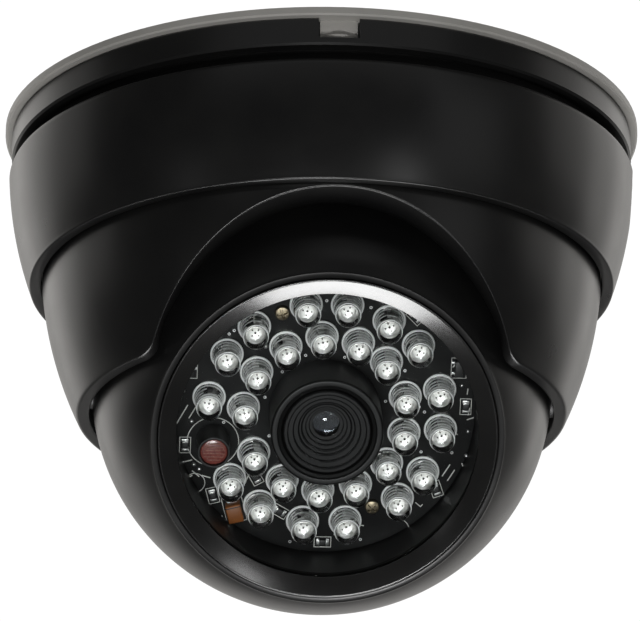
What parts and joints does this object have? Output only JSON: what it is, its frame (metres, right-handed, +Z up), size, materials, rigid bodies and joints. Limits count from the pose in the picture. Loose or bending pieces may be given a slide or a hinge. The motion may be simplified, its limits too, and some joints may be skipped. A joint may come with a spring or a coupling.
{
  "type": "dome cctv camera",
  "caption": "Ceiling dome camera: an eyeball with infrared diodes around a small lens tilts inside a hood that pans under a round base.",
  "frame": {"origin": "centre of the ceiling face of the mounting plate", "axes": "+Z up into the ceiling, -Y toward the front that the camera looks to, +X to the right of someone who faces the camera"},
  "size_m": [0.112, 0.112, 0.0877],
  "materials": {
    "pale_plastic": "satin warm grey plastic",
    "black_plastic": "fine satin black plastic",
    "bezel_plastic": "semi-gloss black plastic",
    "shade_plastic": "matt black plastic",
    "slip_plastic": "waxy white slip plastic",
    "rubber": "matt black rubber",
    "nickel_screw": "bright nickel plate",
    "black_screw": "black oxide steel",
    "brass_screw": "brass",
    "window_glass": "clear flat window",
    "filter_glass": "tinted infrared filter",
    "lens_glass": "coated lens glass",
    "led_epoxy": "clear epoxy",
    "board": "black solder mask with pale print",
    "green_board": "green solder mask",
    "sensor_face": "red-brown light sensor face",
    "orange_epoxy": "orange moulded epoxy",
    "ceramic_chip": "black ceramic chip with tinned ends",
    "chip_plastic": "black chip plastic",
    "lens_black": "black anodised metal"
  },
  "bodies": {
    "base": {"mounting_plate": "pale_plastic", "base_housing": "black_plastic", "housing_screws": "nickel_screw", "seal_ring": "rubber", "dome_cover": "black_plastic", "cover_lock_screw": "black_screw", "cable_grommet": "rubber", "pan_friction_ring": "slip_plastic"},
    "hood": {"hood": "black_plastic"},
    "eyeball": {"eyeball_shell_front": "black_plastic", "eyeball_shell_rear": "black_plastic", "tilt_pivot_left": "nickel_screw", "tilt_pivot_right": "nickel_screw", "tilt_friction_washers": "slip_plastic", "shell_screws": "black_screw", "rear_cable_grommet": "rubber"},
    "module": {"bezel_ring": "bezel_plastic", "front_window": "window_glass", "window_gasket": "rubber", "module_carrier": "black_plastic", "led_board": "board", "ir_leds_outer": "led_epoxy", "ir_leds_inner": "led_epoxy", "board_screws": "brass_screw", "board_standoffs": "brass_screw", "ldr_sensor": "sensor_face", "ldr_shroud": "shade_plastic", "tantalum_capacitor": "orange_epoxy", "smd_resistors": "ceramic_chip", "smd_transistors": "chip_plastic", "lens_shade_ring": "shade_plastic", "lens_holder": "shade_plastic", "sensor_board": "green_board", "sensor_standoffs": "brass_screw", "image_sensor": "chip_plastic", "ir_filter": "filter_glass"},
    "lens": {"lens_barrel": "lens_black", "lens_front_element": "lens_glass", "lens_rear_element": "lens_glass", "lens_lock_ring": "lens_black"}
  },
  "joints": [
    {"name": "pan", "type": "hinge", "parent": "base", "child": "hood", "pos_m": [0, 0, -0.0474], "axis": [0, 0, 1], "range_deg": [-177, 177]},
    {"name": "tilt", "type": "hinge", "parent": "hood", "child": "eyeball", "pos_m": [0, 0, -0.0474], "axis": [1, 0, 0], "range_deg": [-18, 48]},
    {"name": "level", "type": "hinge", "parent": "eyeball", "child": "module", "pos_m": [0, 0, -0.0474], "axis": [0, -0.7501, -0.6613], "range_deg": [-170, 170]},
    {"name": "focus", "type": "hinge", "parent": "module", "child": "lens", "pos_m": [0, 0, -0.0474], "axis": [0, -0.7501, -0.6613], "range_deg": [-90, 90]}
  ]
}
